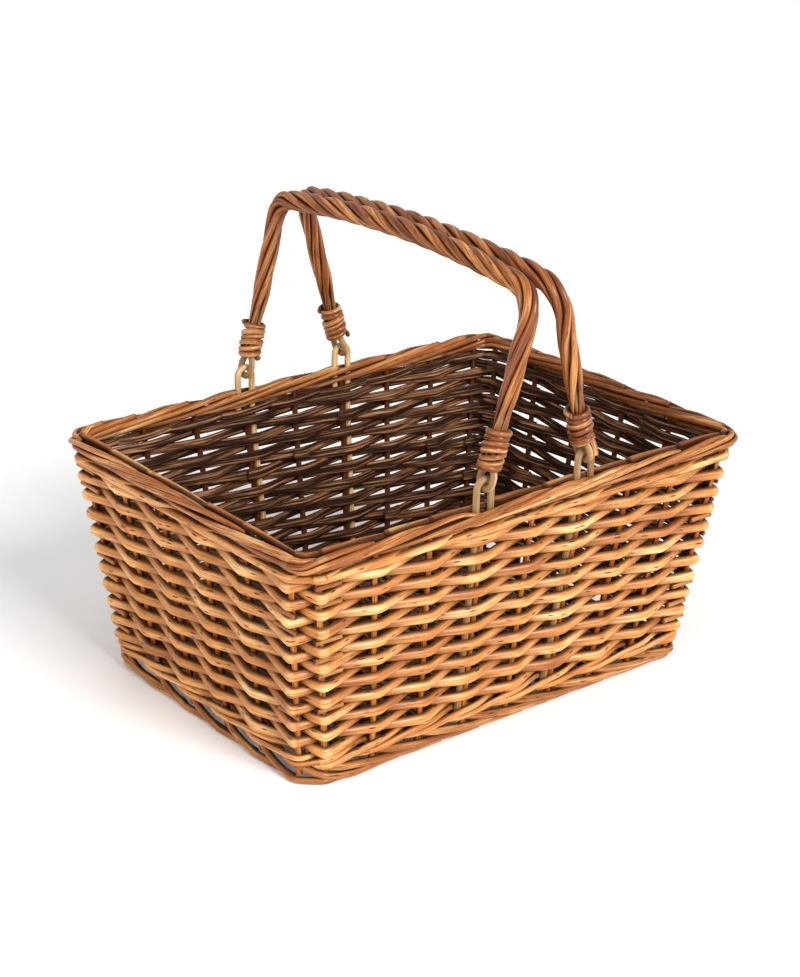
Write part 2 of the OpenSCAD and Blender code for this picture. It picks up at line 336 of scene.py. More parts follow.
@dataclass(frozen=True)
class Cane:
    """Pale unvarnished cane with long fibres."""

    name: str
    light: tuple = linear(216, 180, 126)
    dark: tuple = linear(164, 120, 72)
    shade: tuple = linear(92, 58, 28)

    def make(self) -> bpy.types.Material:
        """Builds the material.

        Returns:
            The finished material.
        """
        g = Graph(self.name)
        fibre = g.noise(g.along_rod(45, 20), detail=4.0)
        patch = g.noise(g.along_rod(30, 2))
        colour = g.mix(fibre.clamp(0.35, 0.7), self.light, self.dark)
        colour = g.mix(patch.clamp(0.55, 0.8) * 0.5, colour, self.dark)
        colour = g.mix(g.attribute("edge").clamp(0.45, 1.0) * 0.6, colour, self.shade)
        varying = {"Base Color": colour, "Roughness": 0.5 + fibre * 0.2, "Normal": g.bump(fibre, 0.3 * MM)}
        return g.finish({"Specular IOR Level": 0.35}, varying)


def willow(name: str, dark: tuple, middle: tuple, light: tuple, **more: float) -> Willow:
    """A willow finish from three display colours and any further settings.

    Args:
        name: The finish's name.
        dark: The colour of its oldest bark.
        middle: Its usual colour.
        light: The colour of its palest bark, also used for the painted highlight at corner bends.
        more: Other fields of Willow.

    Returns:
        The finish.
    """
    return Willow(name, linear(*dark), linear(*middle), linear(*light), **more)


class Finish(Enum):
    """The material slots of the basket and the finish of each."""

    SPLIT = Willow("split_willow")
    STAKE = willow("stake_willow", (104, 44, 14), (168, 90, 36), (220, 150, 80))
    WALE = willow("wale_willow", (116, 60, 22), (190, 120, 58), (240, 188, 122))
    BORDER = willow("border_willow", (96, 46, 14), (162, 95, 41), (230, 178, 112))
    FOOT = willow("foot_willow", (92, 44, 15), (156, 96, 44), (214, 160, 98))
    BASE = willow("base_willow", (84, 48, 24), (136, 84, 44), (180, 124, 74))
    HANDLE = willow("handle_willow", (84, 36, 10), (142, 78, 30), (220, 150, 84), roughness=0.28, coat=0.45)
    BINDING = willow(
        "binding_willow", (86, 38, 12), (150, 86, 38), (238, 186, 122), roughness=0.26, coat=0.45, spread=0.3
    )
    CANE = Cane("cane")


_materials: dict[Finish, bpy.types.Material] = {}


def material_of(finish: Finish) -> bpy.types.Material:
    """The material of a finish, made once."""
    if finish not in _materials:
        _materials[finish] = finish.value.make()
    return _materials[finish]


# ---------------------------------------------------------------- rods


def unit(vectors: Array) -> Array:
    """Scales each row to length 1."""
    return vectors / np.linalg.norm(vectors, axis=-1, keepdims=True)


def ease(t: Array) -> Array:
    """Runs from 0 to 1 as t does, with a slow start and end."""
    return t * t * (3 - 2 * t)


def level_of(node: str) -> float:
    """The height of the middle of a CAD node."""
    low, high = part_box(node)
    return (low.z + high.z) / 2


def draw_tone(rng: Rng, middle: float, spread: float, low: float, high: float) -> float:
    """Draws how light a rod is, from 0 to 1.

    Args:
        rng: The source of the draw.
        middle: The usual tone.
        spread: How much tones differ.
        low: The darkest one.
        high: The lightest one.

    Returns:
        The tone.
    """
    return float(np.clip(rng.normal(middle, spread), low, high))


def wobble(along: Array, wave: float, size: float, rng: Rng) -> Array:
    """A smooth random wave along a rod.

    Args:
        along: Distance along the rod.
        wave: Its longest wavelength, in the same unit.
        size: Its largest swing.
        rng: The source of its phases.

    Returns:
        The wave at each distance.
    """
    phases = rng.uniform(0, 2 * math.pi, 3)
    parts = [np.sin(2 * math.pi * along / wave * f + p) / f for f, p in zip((1.0, 1.7, 2.9), phases)]
    return size * sum(parts) / 1.9


class Section(Enum):
    """The outline of a rod across its length, as outward and upward shares of its size."""

    ROUND = 12
    SPLIT = 15

    def outline(self) -> tuple[Array, Array, Array]:
        """The outline's points, how much pith each one shows and how near the rod's edge it is."""
        if self is Section.ROUND:
            turn = np.arange(self.value) * 2 * math.pi / self.value
            # A round rod gets painted shade along its inner side.
            edge = np.clip(0.72 - 0.75 * np.cos(turn), 0, 1)
            return np.stack([np.cos(turn), np.sin(turn)], 1) / 2, np.zeros(self.value), edge
        # The bark side is an arch; the split face behind it is nearly flat.
        turn = np.radians(np.linspace(-90, 90, BARK_POINTS))
        bark = np.stack([-0.32 + 0.82 * np.cos(turn) ** 0.9, np.sin(turn) / 2], 1)
        bark[0, 0] = bark[-1, 0] = -0.32
        # The edge values set painted shade along the bark's upper and lower edges and at the split face's
        # corners.
        edge = np.concatenate([np.abs(np.linspace(-1, 1, BARK_POINTS)) ** 1.5, FLAT_EDGE])
        pith = np.arange(self.value) >= BARK_POINTS
        return np.concatenate([bark, FLAT_FACE]), pith.astype(float), edge


@dataclass
class Rod:
    """One rod: its middle line, the way its outer side faces, and its size at each point."""

    points: Array
    out: Array | list
    width: Array | float
    depth: Array | float
    tone: float
    # How far out the rod stands, from 0 inside to 1 at its crest: low values paint shade, values above 1 a
    # painted highlight, and negative ones darken a cut end.
    crest: Array | float
    section: Section = Section.ROUND
    roll: float = 0.0

    def __post_init__(self) -> None:
        """Spreads what is the same all along the rod over its points."""
        count = len(self.points)
        self.out = np.broadcast_to(self.out, (count, 3))
        self.width = np.broadcast_to(self.width, count)
        self.depth = np.broadcast_to(self.depth, count)
        self.crest = np.broadcast_to(self.crest, count)

    def skin(self, rng: Rng) -> tuple[Array, Array, dict[str, Array]]:
        """Wraps the outline round the middle line.

        Args:
            rng: The source of a split face's unevenness and of the place in the pattern.

        Returns:
            The points, by ring and side; each ring's distance along; what each point holds.
        """
        ring, pith, edge = self.section.outline()
        count, sides = len(self.points), len(ring)
        tangent = unit(np.gradient(self.points, axis=0))
        up = unit(np.cross(self.out, tangent))
        out = np.cross(tangent, up)
        shape = np.repeat(ring[None], count, 0)
        if self.section is Section.SPLIT:
            shape[:, BARK_POINTS:, 0] += rng.uniform(-UNEVEN, UNEVEN, (count, sides - BARK_POINTS))
        cos, sin = math.cos(self.roll), math.sin(self.roll)
        a = shape[..., 0] * self.depth[:, None]
        b = shape[..., 1] * self.width[:, None]
        a, b = a * cos - b * sin, a * sin + b * cos
        grid = self.points[:, None] + out[:, None] * a[..., None] + up[:, None] * b[..., None]
        steps = np.linalg.norm(np.diff(self.points, axis=0), axis=1)
        length = np.concatenate([[0], np.cumsum(steps)]) + rng.uniform(0, 5)
        held = {
            "tone": np.full(count * sides, self.tone),
            "crest": np.repeat(self.crest, sides),
            "pith": np.tile(pith, count),
            "edge": np.tile(edge, count),
        }
        return grid, length, held


@dataclass
class RodBundle:
    """Collects rods and makes one piece of them."""

    rods: list[Rod] = field(default_factory=list)

    def add(self, rod: Rod) -> None:
        """Adds one rod."""
        self.rods.append(rod)

    def build(self, name: str, finish: Finish, rng: Rng) -> bpy.types.Object:
        """Makes the mesh.

        Args:
            name: The piece's name.
            finish: Its finish.
            rng: The source of small irregularities.

        Returns:
            The new object, at the origin.
        """
        verts, faces, uvs, held = [], [], [], []
        start = 0
        for rod in self.rods:
            grid, length, values = rod.skin(rng)
            count, sides = grid.shape[:2]
            for i in range(count - 1):
                p, q = start + i * sides, start + (i + 1) * sides
                for j in range(sides):
                    k = (j + 1) % sides
                    faces.append((p + j, q + j, q + k, p + k))
                    v0, v1 = j / sides, (j + 1) / sides
                    uvs += [(length[i], v0), (length[i + 1], v0), (length[i + 1], v1), (length[i], v1)]
            for i, order in ((0, range(sides)), (count - 1, range(sides)[::-1])):
                faces.append(tuple(start + i * sides + j for j in order))
                uvs += [(length[i], j / sides) for j in order]
            verts.append(grid.reshape(-1, 3))
            held.append(values)
            start += count * sides
        mesh = bpy.data.meshes.new(name)
        mesh.from_pydata(np.concatenate(verts).tolist(), [], faces)
        layer = mesh.uv_layers.new(name="rod")
        layer.data.foreach_set("uv", np.array(uvs, np.float32).ravel())
        for key in held[0]:
            attribute = mesh.attributes.new(key, "FLOAT", "POINT")
            joined = np.concatenate([values[key] for values in held])
            attribute.data.foreach_set("value", joined.astype(np.float32))
        mesh.materials.append(material_of(finish))
        piece = bpy.data.objects.new(name, mesh)
        bpy.context.scene.collection.objects.link(piece)
        return piece

    def place(self, name: str, finish: Finish, rng: Rng, body: str, *nodes: str) -> None:
        """Makes the piece, lets it ride on a body in place of CAD nodes, and reports it.

        Args:
            name: The piece's name.
            finish: Its finish, whose material the piece gets.
            rng: The source of small irregularities.
            body: The body that it moves with.
            nodes: The CAD nodes that it stands for.
        """
        piece = self.build(name, finish, rng)
        smooth(piece)
        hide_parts(*nodes)
        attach(piece, body)
        LOG.info("%s: %d faces on %s", name, len(piece.data.polygons), body)


def smooth(piece: bpy.types.Object) -> None:
    """Shades a piece smooth, with its sharp edges left crisp."""
    bpy.ops.object.select_all(action="DESELECT")
    piece.select_set(True)
    bpy.context.view_layer.objects.active = piece
    bpy.ops.object.shade_smooth_by_angle(angle=math.radians(CREASE))
    piece.select_set(False)


# ---------------------------------------------------------------- walls


@dataclass
class WallPlan:
    """Where the stakes stand. A place on the wall is a number of stakes, counted anticlockwise."""

    corner_cut: float = 12 * MM
    long_gaps: int = 8
    short_gaps: int = 5
    weave_half: float = 6.65 * MM
    corner_turn: float = 22.5
    foot: Array = field(init=False)
    slope: Array = field(init=False)
    out: Array = field(init=False)

    def __post_init__(self) -> None:
        """Measures the flare from the lowest and highest rows and sets out the stakes."""
        rows = [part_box("weaver_row_01"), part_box("weaver_row_20")]
        mids = [(low.z + high.z) / 2 for low, high in rows]
        halves = [np.array([high.x, high.y]) - self.weave_half for _, high in rows]
        grow = (halves[1] - halves[0]) / (mids[1] - mids[0])
        foot_half = halves[0] - grow * mids[0]
        self.foot = self._stakes(foot_half)
        self.slope = self._stakes(foot_half + grow) - self.foot
        gaps = (self.long_gaps, self.short_gaps) * 2
        angles = [
            w * 90 - 90 + (-self.corner_turn if p == 0 else self.corner_turn if p == gaps[w] else 0)
            for w in range(4)
            for p in range(gaps[w] + 1)
        ]
        self.out = np.stack([np.cos(np.radians(angles)), np.sin(np.radians(angles))], 1)

    def _stakes(self, half: Array) -> Array:
        """Positions of all stakes on a rectangle of these half sizes, with its corners cut."""
        run = half - self.corner_cut
        rows = []
        for wall in range(4):
            gaps = self.long_gaps if wall % 2 == 0 else self.short_gaps
            side = run[wall % 2] * np.linspace(-1, 1, gaps + 1)
            away = np.full(gaps + 1, half[1 - wall % 2])
            rows.append(np.stack([(side, -away), (away, side), (-side, away), (-away, -side)][wall], 1))
        return np.concatenate(rows)

    @property
    def total(self) -> int:
        """How many stakes there are."""
        return len(self.foot)

    @property
    def corners(self) -> list[int]:
        """The stakes that stand at a corner."""
        first = [0, self.long_gaps + 1, self.long_gaps + self.short_gaps + 2]
        first.append(first[2] + self.long_gaps + 1)
        return sorted(first + [(k - 1) % self.total for k in first])

    @property
    def loop_stakes(self) -> dict[tuple[str, str], int]:
        """The stakes that the cane loops stand astride, by end and side."""
        near = self.long_gaps // 2 - 1
        back = self.long_gaps + self.short_gaps + 2
        return {
            ("front", "left"): near,
            ("front", "right"): near + 2,
            ("back", "right"): back + near,
            ("back", "left"): back + near + 2,
        }

    def follow(self, turns: Array, z: Array, offset: Array) -> Line:
        """A line along the wall.

        Args:
            turns: Places along the wall, in stakes.
            z: Heights.
            offset: Distances out from the stake line.

        Returns:
            The points, and the outward direction at each.
        """
        k = np.floor(turns).astype(int)
        s = (turns - k)[:, None]
        a, b = k % self.total, (k + 1) % self.total
        flat = (self.foot[a] + self.slope[a] * z[:, None]) * (1 - s)
        flat = flat + (self.foot[b] + self.slope[b] * z[:, None]) * s
        lean = self.slope[a] * (1 - s) + self.slope[b] * s
        lean = unit(np.concatenate([lean, np.ones_like(s)], 1))
        out = unit(self.out[a] * (1 - s) + self.out[b] * s)
        out = np.concatenate([out, np.zeros_like(s)], 1)
        out = unit(out - lean * np.sum(out * lean, 1, keepdims=True))
        return np.concatenate([flat, z[:, None]], 1) + out * offset[:, None], out

    def corner_share(self, turns: Array) -> Array:
        """How far round a corner a place is, from 1 midway between its two stakes to 0 at them."""
        k = np.floor(turns)
        here = np.isin(k % self.total, self.corners) & np.isin((k + 1) % self.total, self.corners)
        return np.where(here, 1 - np.abs(2 * (turns - k) - 1), 0.0)

    def stake_line(self, k: int, z: Array) -> Line:
        """Points of stake k at these heights, and its outward direction at each."""
        return self.follow(np.full(len(z), float(k)), z, np.zeros(len(z)))


def soften(points: Array, times: int) -> Array:
    """Rounds the kinks of a line a little, with its ends kept."""
    for _ in range(times):
        middle = points[:-2] / 4 + points[1:-1] / 2 + points[2:] / 4
        points = np.concatenate([points[:1], middle, points[-1:]])
    return points


@dataclass
class SplitWeave:
    """The rows of split willow, each woven outside one stake and inside the next."""

    plan: WallPlan
    rows: int = 20
    stake_r: float = 3.0 * MM
    width: float = 8.3 * MM
    depth: float = 5.0 * MM
    overlap: float = 0.3
    tail_share: float = 0.15
    tip_chance: float = 0.5
    tip_tuck: float = 3.4 * MM
    tip_run: float = 0.35
    step: tuple = (0, 0.05, 0.11, 0.2, 0.32, 0.44, 0.56, 0.68, 0.8, 0.89, 0.95)

    def build(self) -> None:
        """Builds all rows."""
        for row in range(self.rows):
            self.build_row(row)

    def swing(self, turns: Array, row: int) -> Array:
        """How far the rod is from inside (-1) to outside (1), as a rounded zigzag.

        Args:
            turns: Places along the wall, in stakes.
            row: The row's number.

        Returns:
            The share at each place.
        """
        k = np.floor(turns)
        s = turns - k
        ahead = np.isin((k + 1) % self.plan.total, list(self.plan.loop_stakes.values()))
        s = np.where(ahead, np.minimum(s / (1 - self.tail_share), 1), s)
        sign = np.where((k + row) % 2 == 0, 1.0, -1.0)
        return sign * np.arcsin(0.99 * np.cos(math.pi * s)) / math.asin(0.99)

    def build_row(self, row: int) -> None:
        """Builds one row of three pieced rods.

        Args:
            row: The row's number, from 0 at the foot.
        """
        rng = np.random.default_rng(100 + row)
        node = f"weaver_row_{row + 1:02d}"
        height, total = level_of(node), self.plan.total
        inner = [k for k in range(total) if (k + row) % 2 == 1]
        third = len(inner) // 3
        pick = rng.integers(0, third)
        joins = sorted(inner[(pick + i * third + int(rng.integers(-1, 2))) % len(inner)] for i in range(3))
        bundle = RodBundle()
        for first, last in zip(joins, [*joins[1:], joins[0] + total]):
            bundle.add(self.make_rod(row, first, last, height, rng))
        for k in self.plan.corners:
            if (k + row) % 2 == 1 and rng.uniform() < self.tip_chance:
                bundle.add(self.make_tip(k, height, rng))
        bundle.place(f"split_row_{row + 1:02d}", Finish.SPLIT, rng, BASKET, node)

    def make_tip(self, k: int, height: float, rng: Rng) -> Rod:
        """Makes the cut tip of a spent rod that sticks out past a corner stake.

        Args:
            k: The corner stake.
            height: The row's height.
            rng: The source of its length and size.

        Returns:
            The tip.
        """
        onward = 1 if (k + 1) % self.plan.total in self.plan.corners else -1
        ends = np.array([k - self.tip_run * onward, float(k)])
        level = np.full(2, height + rng.uniform(-1, 1) * MM)
        line, out = self.plan.follow(ends, level, np.full(2, self.stake_r))
        run = line[1] - line[0]
        reach = np.linspace(0, np.linalg.norm(run) + rng.uniform(3.0, 6.5) * MM, 8)
        size = rng.uniform(3.0, 4.2) * MM
        tone = float(rng.uniform(0.1, 0.5))
        crest = np.full(8, 0.45)
        crest[-1] = CUT_CREST
        return Rod(line[0] + reach[:, None] * unit(run), out[0], size, size, tone, crest)

    def make_rod(self, row: int, first: int, last: int, height: float, rng: Rng) -> Rod:
        """Makes one rod of a row, from inside one stake to inside another.

        Args:
            row: The row's number.
            first: The stake that its butt rests on.
            last: The stake that its tip rests on.
            height: The row's height.
            rng: The source of its irregularities.

        Returns:
            The rod.
        """
        places = [k + s for k in range(first - 1, last + 1) for s in self.step]
        turns = np.array([t for t in places if first - self.overlap <= t <= last + self.overlap])
        swing = self.swing(turns, row)
        corner = np.isin(np.round(turns) % self.plan.total, self.plan.corners)
        tip = np.clip((turns - last + self.tip_run) / self.tip_run, 0, 1)
        offset = swing * (self.stake_r + self.depth / 2 + 0.2 * MM) - tip**2 * self.tip_tuck
        drift = wobble(turns, 9.0, 0.6 * MM, rng) + wobble(turns, 2.6, 0.4 * MM, rng)
        points, out = self.plan.follow(turns, np.full(len(turns), height) + drift, offset)
        points = soften(points, 1)
        run = (turns - turns[0]) / (turns[-1] - turns[0])
        squeeze = 0.86 + 0.14 * np.abs(swing)
        size = rng.uniform(0.92, 1.06)
        width = self.width * size * (1.05 - 0.11 * run) * squeeze * (1 + wobble(turns, 5.0, 0.04, rng))
        depth = self.depth * (1.04 - 0.1 * run) * (1 + wobble(turns, 4.0, 0.04, rng))
        tone = draw_tone(rng, 0.5, 0.13, 0.15, 0.85)
        # Painted shade where the rod passes inside a stake, and a painted highlight on its outside bends at
        # corner stakes.
        crest = np.clip(0.5 + 0.6 * swing, 0, 1) + np.where(corner & (swing > 0.85), 0.2, 0)
        return Rod(points, out, width, depth, tone, crest, Section.SPLIT, float(rng.normal(0, 0.05)))


@dataclass
class Stakes:
    """The upright stakes, in the groups that the frame has them in."""

    plan: WallPlan
    radius: float = 2.25 * MM

    def build(self) -> None:
        """Builds the stakes of each wall and of the corners."""
        first = 0
        sizes = (self.plan.long_gaps, self.plan.short_gaps) * 2
        for name, gaps in zip(("front", "right", "back", "left"), sizes):
            self.group(f"{name}_stakes", [first + p for p in range(1, gaps)])
            first += gaps + 1
        self.group("corner_stakes", self.plan.corners)

    def group(self, node: str, stakes: list[int]) -> None:
        """Builds one group.

        Args:
            node: The CAD node that it stands for.
            stakes: The numbers of its stakes.
        """
        rng = np.random.default_rng(len(node) + stakes[0])
        low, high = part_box(node)
        bundle = RodBundle()
        z = np.linspace(low.z, high.z + 2 * MM, 60)
        for k in stakes:
            points, out = self.plan.stake_line(k, z)
            side = np.cross(out, unit(np.gradient(points, axis=0)))
            points = points + out * wobble(z, 0.09, 0.12 * MM, rng)[:, None]
            points = points + side * wobble(z, 0.12, 0.35 * MM, rng)[:, None]
            size = 2 * self.radius * (1.03 - 0.08 * (z - z[0]) / (z[-1] - z[0]))
            bundle.add(Rod(points, out, size, size, draw_tone(rng, 0.42, 0.16, 0.05, 0.9), 0.75))
        bundle.place(node + "_rods", Finish.STAKE, rng, BASKET, node)


@dataclass
class Wale:
    """Three thin rods twisted round the stakes: outside two, inside the third."""

    plan: WallPlan
    node: str
    radius: float
    section: Section = Section.ROUND
    stake_r: float = 2.3 * MM
    dive: float = 0.25
    steps: int = 10

    def build(self) -> None:
        """Builds the wale's three rods."""
        rng = np.random.default_rng(len(self.node) * 7)
        low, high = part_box(self.node)
        middle, rise = (low.z + high.z) / 2, (high.z - low.z) / 2 - self.radius
        bundle = RodBundle()
        for phase in range(3):
            turns = np.arange(self.plan.total * self.steps + 4) / self.steps - 0.2
            points, out = self.twine(turns, phase, middle, rise)
            points[:, 2] += wobble(turns, 7.0, 0.3 * MM, rng)
            points = soften(points, 2)
            size = 2 * self.radius * (1 + wobble(turns, 8.0, 0.08, rng))
            tone = draw_tone(rng, 0.55, 0.2, 0.1, 0.95)
            # Painted shade where a rod passes inside a stake.
            crest = np.clip(0.62 + self.offset(turns, phase) / self.reach * 0.5, 0, 1)
            bundle.add(Rod(points, out, size, size, tone, crest, self.section))
        bundle.place(self.node + "_rods", Finish.WALE, rng, BASKET, self.node)

    @property
    def reach(self) -> float:
        """How far a rod passes from the middle of a stake."""
        return self.stake_r + self.radius + 0.1 * MM

    def offset(self, turns: Array, phase: int) -> Array:
        """The rod's distance out from the stake line."""
        k = np.floor(turns)
        s = turns - k
        here = np.where((k - phase) % 3 == 0, -1.0, 1.0)
        there = np.where((k + 1 - phase) % 3 == 0, -1.0, 1.0)
        return self.reach * ((here + there) / 2 + (here - there) / 2 * np.cos(math.pi * s))

    def twine(self, turns: Array, phase: int, middle: float, rise: float) -> Line:
        """The line of one of the three rods.

        Args:
            turns: Places along the wall, in stakes.
            phase: Which of the three rods it is.
            middle: Height of the wale's middle.
            rise: How far the rods swing above and below it.

        Returns:
            Its points and outward directions.
        """
        # Low where it comes out from behind a stake, a rod climbs past the next one, then dives.
        lap = (turns - phase) % 3
        climb = np.clip((lap - 0.85) / 1.3, 0, 1)
        height = np.where(lap < self.dive, -lap / self.dive, -1 + 2 * ease(climb))
        height = np.where(lap > 3 - self.dive, (3 - lap) / self.dive, height)
        return self.plan.follow(turns, middle + rise * height, self.offset(turns, phase))


@dataclass(frozen=True)
class RimBand:
    """One side of the rolled rim: strands that climb from one angle round its middle to another."""

    start: float
    stop: float
    per_stake: float
    tuck: tuple


@dataclass
class RimBorder:
    """The rolled rim: strands laid over its outer and its inner side, with a groove between."""

    plan: WallPlan
    strand_r: float = 2.15 * MM
    circle_r: float = 5.1 * MM
    corner_push: float = 4.5 * MM
    outer: RimBand = RimBand(-112, 84, 47, (0.15, 0.9))
    inner: RimBand = RimBand(114, 268, 46, (0.0, 0.6))

    def build(self) -> None:
        """Builds one strand of each band for each stake."""
        rng = np.random.default_rng(41)
        self.middle = level_of("rim_border")
        legs = self.leg_places()
        bundle = RodBundle()
        for k in range(self.plan.total):
            for band in (self.outer, self.inner):
                bundle.add(self.strand(k, band, legs, rng))
        bundle.place("rolled_rim", Finish.BORDER, rng, BASKET, "rim_border")

    def strand(self, k: int, band: RimBand, legs: Array, rng: Rng) -> Rod:
        """Makes one strand.

        Args:
            k: The stake that it starts at.
            band: The side of the rim that it lies on.
            legs: Where the legs of the cane loops stand.
            rng: The source of its irregularities.

        Returns:
            The strand.
        """
        reach = (band.stop - band.start) / band.per_stake
        u = np.linspace(0, reach, 62)
        turns = k + rng.uniform(-0.3, 0.3) + u
        angle = np.radians(band.start + band.per_stake * u + wobble(u, 3.5, 6.0, rng))
        # Both ends of a strand are tucked under its neighbours.
        left = np.minimum(u, 0.6) / 0.6
        right = np.clip((reach - u) / 0.7, 0, 1)
        into = (band.tuck[0] * (1 - left) + band.tuck[1] * (1 - right)) * self.circle_r
        away = self.circle_r + wobble(u, 2.2, 0.25 * MM, rng) - into
        offset, z = away * np.cos(angle), self.middle + away * np.sin(angle)
        offset = self.part_round_legs(turns, offset, legs)
        offset = offset + self.corner_push * self.plan.corner_share(turns)
        points, out = self.plan.follow(turns, z, offset)
        points = soften(points, 1)
        out = out * np.cos(angle)[:, None] + np.array([0.0, 0.0, 1.0]) * np.sin(angle)[:, None]
        size = 2 * self.strand_r * rng.uniform(0.94, 1.04) * (1.04 - 0.16 * u / reach)
        tone = draw_tone(rng, 0.52, 0.2, 0.05, 0.95)
        # Painted shade towards the rim's lower inner side, and a painted highlight where a strand bends at a
        # corner stake; the first ring is darkened as a cut end.
        crest = np.clip(0.8 + 0.3 * np.sin(angle + 0.7), 0.45, 1)
        stake = np.round(turns)
        corner = np.isin(stake % self.plan.total, self.plan.corners)
        crest = crest + np.where(corner & (np.abs(turns - stake) < 0.12), 0.15, 0)
        crest[0] = CUT_CREST / 2
        return Rod(points, out, size, size, tone, crest)

    def leg_places(self) -> Array:
        """Where the legs of the cane loops come up through the rim, in metres."""
        places = []
        for end, side in self.plan.loop_stakes:
            low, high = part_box(f"cane_loop_{end}_{side}")
            y = high.y - CANE_R if end == "back" else low.y + CANE_R
            places += [(low.x + CANE_R, y), (high.x - CANE_R, y)]
        return np.array(places)

    def part_round_legs(self, turns: Array, offset: Array, legs: Array) -> Array:
        """Pushes a strand aside where a cane leg stands.

        Args:
            turns: Places along the wall, in stakes.
            offset: The strand's distances out from the stake line.
            legs: Where the legs stand.

        Returns:
            The new distances.
        """
        line, _ = self.plan.follow(turns, np.full(len(turns), self.middle), np.zeros(len(turns)))
        near = np.min(np.linalg.norm(line[:, None, :2] - legs[None], axis=2), axis=1)
        room = (CANE_R + self.strand_r - 0.4 * MM) * np.exp(-((near / (9 * MM)) ** 2))
        sign = np.where(offset[np.argmin(near)] >= 0, 1.0, -1.0)
        return np.where(np.abs(offset) < room, sign * room, offset)


@dataclass(frozen=True)
class FootRun:
    """How a foot strand comes down along one kind of wall: distances in stake spaces, heights, size."""

    places: tuple
    heights: tuple
    radius: float


@dataclass
class FootBorder:
    """The foot: each stake's lower end bends out and runs down and along, past the next stakes."""

    plan: WallPlan
    space: float = 41 * MM
    long_run: FootRun = FootRun((0, 0.3, 1.0, 1.8, 2.25), (1.0, 0.85, 0.5, 0.25, 0.2), 2.85 * MM)
    short_run: FootRun = FootRun((0, 0.2, 0.6, 1.0, 1.9), (1.0, 0.8, 0.42, 0.22, 0.2), 2.6 * MM)
    out_places: tuple = (0, 0.3, 1.0, 1.5)
    out_by: tuple = (0.5 * MM, 4.2 * MM, 5.2 * MM, 3.4 * MM, 3.0 * MM)

    def build(self) -> None:
        """Builds one strand for each stake."""
        rng = np.random.default_rng(77)
        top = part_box("lower_wale")[0].z
        bundle = RodBundle()
        ahead = np.linalg.norm(np.roll(self.plan.foot, -1, 0) - self.plan.foot, axis=1)
        lap = np.concatenate([[0], np.cumsum(np.tile(ahead, 2))])
        long_stakes = list(range(self.plan.long_gaps + 1))
        long_stakes += [k + self.plan.total // 2 for k in long_stakes]
        for k in range(self.plan.total):
            run = self.long_run if k in long_stakes else self.short_run
            reach = run.places[-1] + rng.uniform(-0.12, 0.12)
            u = np.linspace(0, reach, 46)
            z = np.interp(u, run.places, run.heights) * top
            offset = np.interp(u, [*self.out_places, reach], self.out_by)
            turns = np.interp(lap[k] + u * self.space, lap, np.arange(len(lap)))
            points, out = self.plan.follow(turns, z, offset)
            points = soften(points, 4)
            points[:, 2] = np.maximum(points[:, 2], run.radius * 1.05)
            size = 2 * run.radius * (1.04 - 0.16 * u / reach)
            tone = draw_tone(rng, 0.5, 0.18, 0.05, 0.95)
            # Painted shade, deeper once the strand has run a stake space on and lies low by the floor.
            crest = np.clip(0.9 - 0.2 * np.clip(u - 1, 0, 1), 0, 1)
            crest[-1] = CUT_CREST * 0.75
            bundle.add(Rod(points, out, size, size, tone, crest))
        bundle.place("foot_border", Finish.FOOT, rng, BASKET, "foot_rail", "foot_strands")


@dataclass
class Base:
    """The woven floor: sticks along the basket and split rods across them."""

    sticks: int = 6
    rods: int = 46
    stick_r: float = 3.0 * MM
    depth: float = 2.8 * MM

    def build(self) -> None:
        """Builds the sticks and the rods across them."""
        low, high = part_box("base_sticks")
        level = level_of("base_sticks")
        rng = np.random.default_rng(5)
        ys = np.linspace(low.y + self.stick_r, high.y - self.stick_r, self.sticks)
        sticks = RodBundle()
        x = np.linspace(low.x, high.x, 50)
        for y in ys:
            points = np.stack([x, y + wobble(x, 0.2, 0.4 * MM, rng), np.full(len(x), level)], 1)
            size = 2 * self.stick_r
            sticks.add(Rod(points, [0.0, 0.0, 1.0], size, size, float(rng.uniform(0.2, 0.7)), 0.5))
        sticks.place("base_stick_rods", Finish.BASE, rng, BASKET, "base_sticks")
        rods = RodBundle()
        low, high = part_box("base_weave")
        pitch = (high.x - low.x) / self.rods
        y = np.linspace(low.y, high.y, 90)
        beat = np.interp(y, ys, np.arange(len(ys)))
        for i in range(self.rods):
            swing = np.cos(math.pi * (beat + i))
            where = low.x + (i + 0.5) * pitch + wobble(y, 0.15, 0.3 * MM, rng)
            z = level + swing * (self.stick_r + self.depth / 2 + 0.1 * MM)
            points = np.stack([where, y, z], 1)
            # Painted shade where a rod passes over a stick, on the side away from its bark.
            tone, crest = float(rng.uniform(0.2, 0.8)), np.clip(0.5 - 0.4 * swing, 0, 1)
            rods.add(Rod(points, [0.0, 0.0, -1.0], pitch, self.depth, tone, crest, Section.SPLIT))
        rods.place("base_weave_rods", Finish.BASE, rng, BASKET, "base_weave")


# ---------------------------------------------------------------- handles


